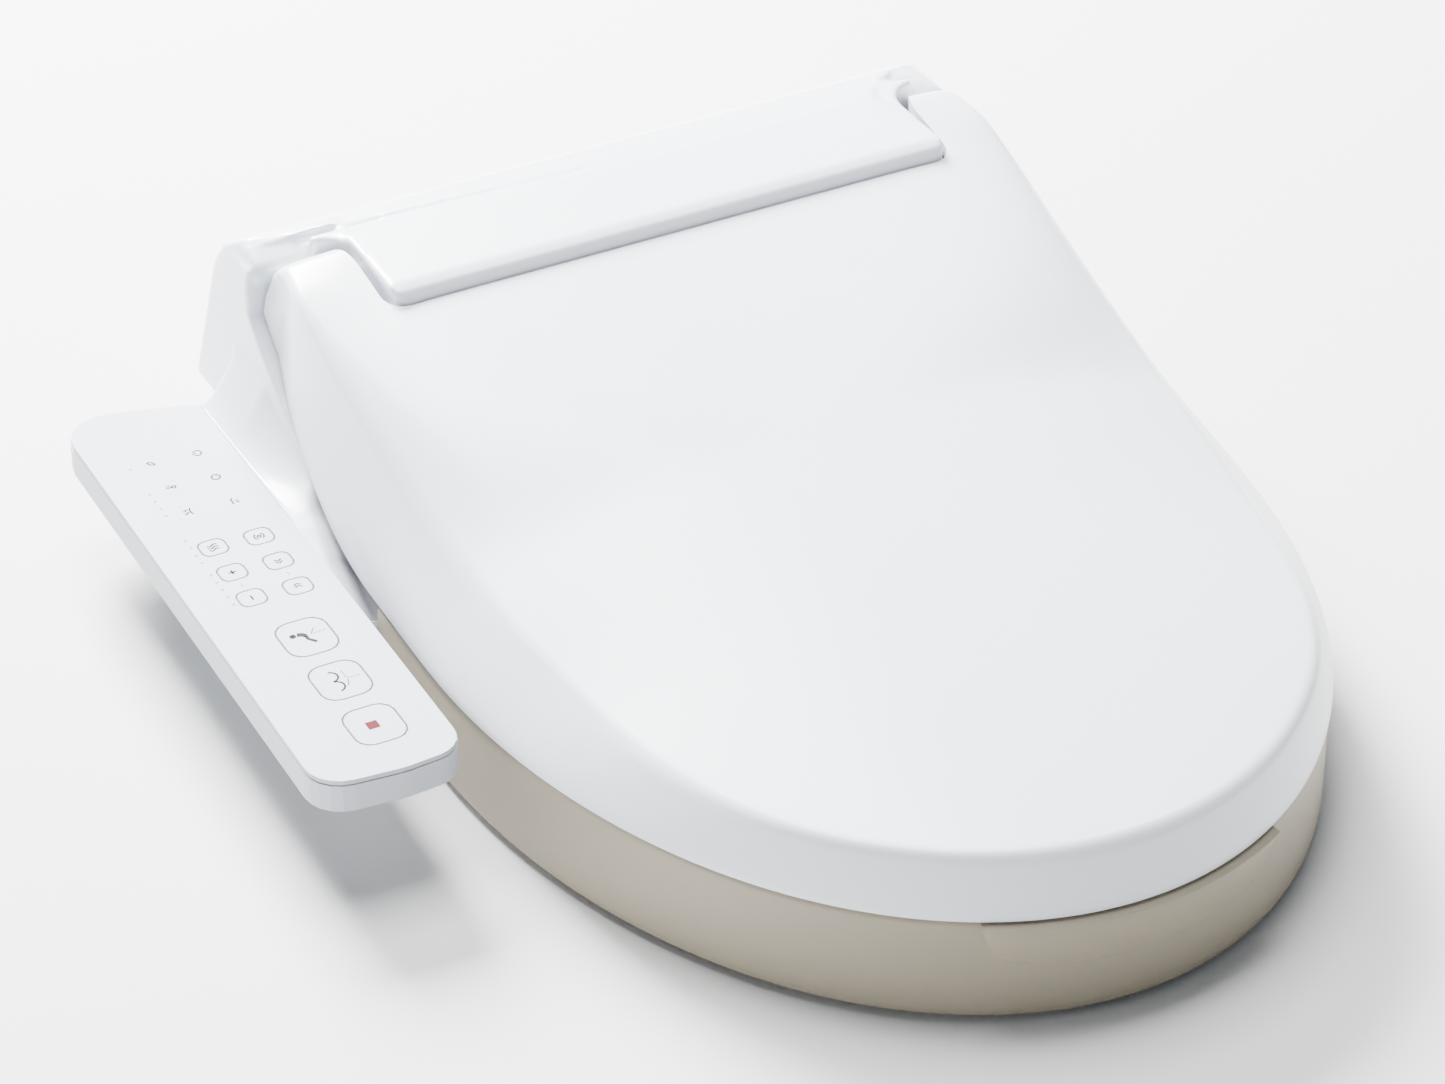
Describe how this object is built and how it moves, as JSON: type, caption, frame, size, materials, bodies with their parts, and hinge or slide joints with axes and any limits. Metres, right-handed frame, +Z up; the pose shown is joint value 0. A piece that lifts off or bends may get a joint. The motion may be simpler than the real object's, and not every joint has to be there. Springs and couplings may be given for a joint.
{
  "type": "electric bidet seat",
  "caption": "Electric bidet toilet seat: white lid, raised tan seat, rear washing unit with hump cover and a slim side control panel.",
  "frame": {"origin": "middle of the mounting plate's underside, on the line of the two fixing bolts, level with the bowl's rim", "axes": "-Y towards the front of the seat, +Z up, -X towards the control panel, which is at a sitting person's right hand"},
  "size_m": [0.4461, 0.5322, 0.141],
  "materials": {
    "white_plastic": "smooth satin-gloss moulding, cool white",
    "panel_plastic": "satin printed sheet and case, cool white",
    "tan_plastic": "satin moulded, warm grey-tan",
    "grey_plastic": "fine texture, mid grey",
    "housing_plastic": "natural moulded plastic",
    "nozzle_plastic": "smooth",
    "rubber": "matt black rubber",
    "steel": "turned metal",
    "circuit_board": "solder-mask green",
    "carbon_black": "matt black",
    "heater_foil": "thin foil"
  },
  "bodies": {
    "mount": {"mounting_plate": "grey_plastic", "bolt_bush_left": "rubber", "bolt_bush_right": "rubber"},
    "unit": {"base_case": "grey_plastic", "front_foot_left": "rubber", "front_foot_right": "rubber", "panel_bracket": "grey_plastic", "top_cover": "white_plastic", "panel_case": "panel_plastic", "panel_face": "panel_plastic", "panel_board": "circuit_board", "nozzle_guide": "housing_plastic", "nozzle_motor": "steel", "heat_exchanger": "housing_plastic", "tank_thermostat": "steel", "solenoid_valve": "housing_plastic", "water_inlet": "steel", "dryer_housing": "housing_plastic", "dryer_duct": "housing_plastic", "deodoriser_housing": "housing_plastic", "main_board": "circuit_board", "cord_gland": "rubber", "hinge_damper_left": "steel", "hinge_damper_right": "steel"},
    "seat": {"seat_shell": "tan_plastic", "seat_base": "tan_plastic", "seat_heater": "heater_foil", "seat_bumper_front_left": "rubber", "seat_bumper_front_right": "rubber", "seat_bumper_back_left": "rubber", "seat_bumper_back_right": "rubber"},
    "lid": {"lid_shell": "white_plastic", "lid_bumper_left": "rubber", "lid_bumper_right": "rubber"},
    "nozzle": {"nozzle_tube": "nozzle_plastic", "nozzle_head": "nozzle_plastic", "nozzle_shutter": "white_plastic"},
    "pinion": {"nozzle_pinion": "housing_plastic"},
    "dryer_fan": {"dryer_impeller": "carbon_black"},
    "deodoriser_fan": {"deodoriser_impeller": "carbon_black"},
    "flap": {"dryer_flap": "white_plastic"},
    "cartridge": {"carbon_cartridge": "carbon_black"},
    "plug": {"filter_plug": "grey_plastic"},
    "button": {"release_button": "grey_plastic"},
    "key_stop": {"key_stop": "panel_plastic"},
    "key_rear_wash": {"key_rear_wash": "panel_plastic"},
    "key_front_wash": {"key_front_wash": "panel_plastic"},
    "key_massage": {"key_massage": "panel_plastic"},
    "key_spray_back": {"key_spray_back": "panel_plastic"},
    "key_spray_front": {"key_spray_front": "panel_plastic"},
    "key_dry": {"key_dry": "panel_plastic"},
    "key_stronger": {"key_stronger": "panel_plastic"},
    "key_weaker": {"key_weaker": "panel_plastic"},
    "key_power": {"key_power": "panel_plastic"},
    "key_deodorise": {"key_deodorise": "panel_plastic"},
    "key_nozzle_clean": {"key_nozzle_clean": "panel_plastic"},
    "key_eco": {"key_eco": "panel_plastic"},
    "key_water_heat": {"key_water_heat": "panel_plastic"},
    "key_seat_heat": {"key_seat_heat": "panel_plastic"}
  },
  "joints": [
    {"name": "body_slide", "type": "slide", "parent": "mount", "child": "unit", "axis": [0, -1, 0], "range_m": [0, 0.05]},
    {"name": "seat_hinge", "type": "hinge", "parent": "unit", "child": "seat", "pos_m": [0, -0.028, 0.129], "axis": [1, 0, 0], "range_deg": [-95, 0]},
    {"name": "lid_hinge", "type": "hinge", "parent": "seat", "child": "lid", "pos_m": [0, -0.028, 0.129], "axis": [-1, 0, 0], "range_deg": [0, 100]},
    {"name": "nozzle_slide", "type": "slide", "parent": "unit", "child": "nozzle", "axis": [0, -0.891, -0.454], "range_m": [0, 0.09]},
    {"name": "pinion_spin", "type": "hinge", "parent": "unit", "child": "pinion", "pos_m": [0.0025, -0.05953, 0.05954], "axis": [1, 0, 0], "range_deg": [-1045, 5]},
    {"name": "dryer_fan_spin", "type": "hinge", "parent": "unit", "child": "dryer_fan", "pos_m": [0.075, -0.028, 0.042], "axis": [1, 0, 0], "continuous": true},
    {"name": "deodoriser_fan_spin", "type": "hinge", "parent": "unit", "child": "deodoriser_fan", "pos_m": [0.14, -0.026, 0.022], "axis": [0, 0, 1], "continuous": true},
    {"name": "dryer_flap_hinge", "type": "hinge", "parent": "unit", "child": "flap", "pos_m": [0.075, -0.112, 0.0325], "axis": [-1, 0, 0], "range_deg": [0, 60]},
    {"name": "cartridge_slide", "type": "slide", "parent": "unit", "child": "cartridge", "axis": [1, 0, 0], "range_m": [0, 0.04]},
    {"name": "filter_plug_pull", "type": "slide", "parent": "unit", "child": "plug", "axis": [-1, 0, 0], "range_m": [0, 0.02]},
    {"name": "release_button_press", "type": "slide", "parent": "unit", "child": "button", "axis": [-1, 0, 0], "range_m": [0, 0.004], "stiffness_N_per_m": 300, "springref_m": -0.002},
    {"name": "key_stop_press", "type": "slide", "parent": "unit", "child": "key_stop", "axis": [0, 0, -1], "range_m": [0, 0.0008], "stiffness_N_per_m": 600, "springref_m": -0.0006},
    {"name": "key_rear_wash_press", "type": "slide", "parent": "unit", "child": "key_rear_wash", "axis": [0, 0, -1], "range_m": [0, 0.0008], "stiffness_N_per_m": 600, "springref_m": -0.0006},
    {"name": "key_front_wash_press", "type": "slide", "parent": "unit", "child": "key_front_wash", "axis": [0, 0, -1], "range_m": [0, 0.0008], "stiffness_N_per_m": 600, "springref_m": -0.0006},
    {"name": "key_massage_press", "type": "slide", "parent": "unit", "child": "key_massage", "axis": [0, 0, -1], "range_m": [0, 0.0008], "stiffness_N_per_m": 600, "springref_m": -0.0006},
    {"name": "key_spray_back_press", "type": "slide", "parent": "unit", "child": "key_spray_back", "axis": [0, 0, -1], "range_m": [0, 0.0008], "stiffness_N_per_m": 600, "springref_m": -0.0006},
    {"name": "key_spray_front_press", "type": "slide", "parent": "unit", "child": "key_spray_front", "axis": [0, 0, -1], "range_m": [0, 0.0008], "stiffness_N_per_m": 600, "springref_m": -0.0006},
    {"name": "key_dry_press", "type": "slide", "parent": "unit", "child": "key_dry", "axis": [0, 0, -1], "range_m": [0, 0.0008], "stiffness_N_per_m": 600, "springref_m": -0.0006},
    {"name": "key_stronger_press", "type": "slide", "parent": "unit", "child": "key_stronger", "axis": [0, 0, -1], "range_m": [0, 0.0008], "stiffness_N_per_m": 600, "springref_m": -0.0006},
    {"name": "key_weaker_press", "type": "slide", "parent": "unit", "child": "key_weaker", "axis": [0, 0, -1], "range_m": [0, 0.0008], "stiffness_N_per_m": 600, "springref_m": -0.0006},
    {"name": "key_power_press", "type": "slide", "parent": "unit", "child": "key_power", "axis": [0, 0, -1], "range_m": [0, 0.0008], "stiffness_N_per_m": 600, "springref_m": -0.0006},
    {"name": "key_deodorise_press", "type": "slide", "parent": "unit", "child": "key_deodorise", "axis": [0, 0, -1], "range_m": [0, 0.0008], "stiffness_N_per_m": 600, "springref_m": -0.0006},
    {"name": "key_nozzle_clean_press", "type": "slide", "parent": "unit", "child": "key_nozzle_clean", "axis": [0, 0, -1], "range_m": [0, 0.0008], "stiffness_N_per_m": 600, "springref_m": -0.0006},
    {"name": "key_eco_press", "type": "slide", "parent": "unit", "child": "key_eco", "axis": [0, 0, -1], "range_m": [0, 0.0008], "stiffness_N_per_m": 600, "springref_m": -0.0006},
    {"name": "key_water_heat_press", "type": "slide", "parent": "unit", "child": "key_water_heat", "axis": [0, 0, -1], "range_m": [0, 0.0008], "stiffness_N_per_m": 600, "springref_m": -0.0006},
    {"name": "key_seat_heat_press", "type": "slide", "parent": "unit", "child": "key_seat_heat", "axis": [0, 0, -1], "range_m": [0, 0.0008], "stiffness_N_per_m": 600, "springref_m": -0.0006}
  ],
  "couplings": [
    {"joint": "pinion_spin", "follows": "nozzle_slide", "rad_per_m": -200}
  ]
}
